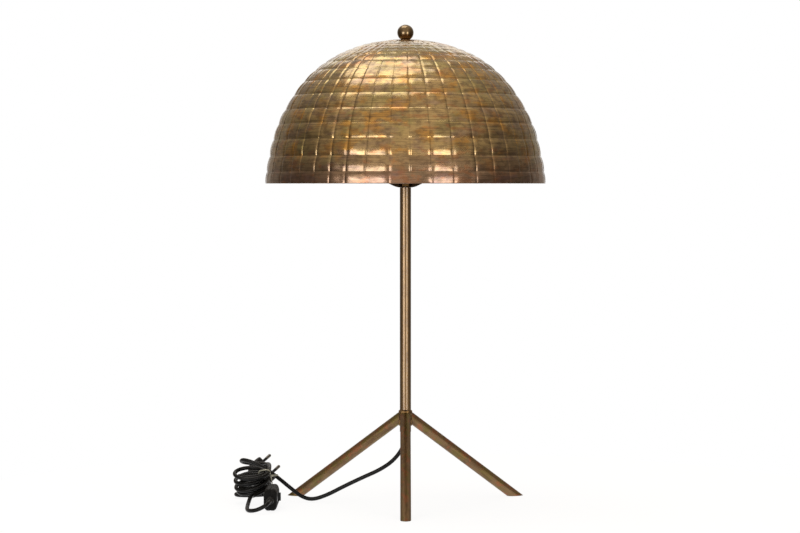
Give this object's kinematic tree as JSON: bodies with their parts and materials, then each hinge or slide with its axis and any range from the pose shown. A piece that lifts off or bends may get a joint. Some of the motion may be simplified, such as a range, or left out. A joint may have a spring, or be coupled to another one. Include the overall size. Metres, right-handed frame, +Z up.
{
  "type": "table lamp",
  "caption": "Table lamp with an embossed dome shade on a slim stem with three straight legs, with harp, lampholder, bulb, and a cord with in-line switch and plug.",
  "frame": {"origin": "on the stem axis at the height of the table that the three feet stand on", "axes": "+Z up along the stem, the front leg towards -Y, +X to the right seen from the front"},
  "size_m": [0.3938, 0.3504, 0.6009],
  "materials": {
    "antique_brass": "aged, satin",
    "embossed_brass": "beaten and patinated",
    "polished_brass": "aged, semi-gloss",
    "braze_metal": "flowed bead",
    "fitting_steel": "zinc plated",
    "holder_bakelite": "moulded",
    "holder_ceramic": "glazed ceramic",
    "contact_brass": "bright",
    "bulb_cap_metal": "spun",
    "bulb_glass": "clear",
    "filament_phosphor": "phosphor coated",
    "cord_sheath": "satin",
    "bushing_rubber": "moulded",
    "tie_wire": "plastic coated wire",
    "switch_plastic": "moulded",
    "plug_plastic": "moulded",
    "pin_metal": "nickel plated"
  },
  "bodies": {
    "stand": {"brazing": "braze_metal", "centre_contact": "contact_brass", "cord_bushing": "bushing_rubber", "cord_hank": "cord_sheath", "cord_to_hank": "cord_sheath", "cord_to_plug": "cord_sheath", "cord_to_switch": "cord_sheath", "front_leg": "antique_brass", "hank_tie": "tie_wire", "harp": "antique_brass", "harp_saddle": "antique_brass", "harp_stud": "antique_brass", "holder_cap": "holder_bakelite", "holder_core": "holder_ceramic", "holder_shell": "holder_bakelite", "left_leg": "antique_brass", "lock_nut": "antique_brass", "plug_body": "plug_plastic", "plug_pin_sleeves": "plug_plastic", "plug_pins": "pin_metal", "plug_relief": "bushing_rubber", "right_leg": "antique_brass", "seat_washer": "antique_brass", "stem_flex": "cord_sheath", "stem_insert": "fitting_steel", "stem_tube": "antique_brass", "switch_base": "switch_plastic", "switch_cover": "switch_plastic", "switch_reliefs": "bushing_rubber", "switch_screws": "fitting_steel", "terminal_screws": "fitting_steel", "thread_sleeve": "contact_brass", "threaded_nipple": "fitting_steel"},
    "shade": {"shade": "embossed_brass"},
    "finial": {"finial": "polished_brass"},
    "bulb": {"bulb_glass": "bulb_glass", "bulb_cap": "bulb_cap_metal", "bulb_tip": "contact_brass", "bulb_stem": "bulb_glass", "filaments": "filament_phosphor"},
    "sleeve_left": {"harp_sleeve_left": "antique_brass"},
    "sleeve_right": {"harp_sleeve_right": "antique_brass"},
    "rocker": {"switch_rocker": "switch_plastic"}
  },
  "joints": [
    {"name": "shade_turn", "type": "hinge", "parent": "stand", "child": "shade", "pos_m": [0, 0, 0.579], "axis": [0, 0, 1], "continuous": true},
    {"name": "finial_turn", "type": "hinge", "parent": "stand", "child": "finial", "pos_m": [0, 0, 0.585], "axis": [0, 0, 1], "continuous": true},
    {"name": "bulb_turn", "type": "hinge", "parent": "stand", "child": "bulb", "pos_m": [0, 0, 0.44], "axis": [0, 0, 1], "continuous": true},
    {"name": "sleeve_left_lift", "type": "slide", "parent": "stand", "child": "sleeve_left", "axis": [0, 0, 1], "range_m": [0, 0.008]},
    {"name": "sleeve_right_lift", "type": "slide", "parent": "stand", "child": "sleeve_right", "axis": [0, 0, 1], "range_m": [0, 0.008]},
    {"name": "rocker_tilt", "type": "hinge", "parent": "stand", "child": "rocker", "pos_m": [-0.1615, -0.048, 0.0137], "axis": [0, 0, 1], "range_deg": [0, 20]}
  ]
}
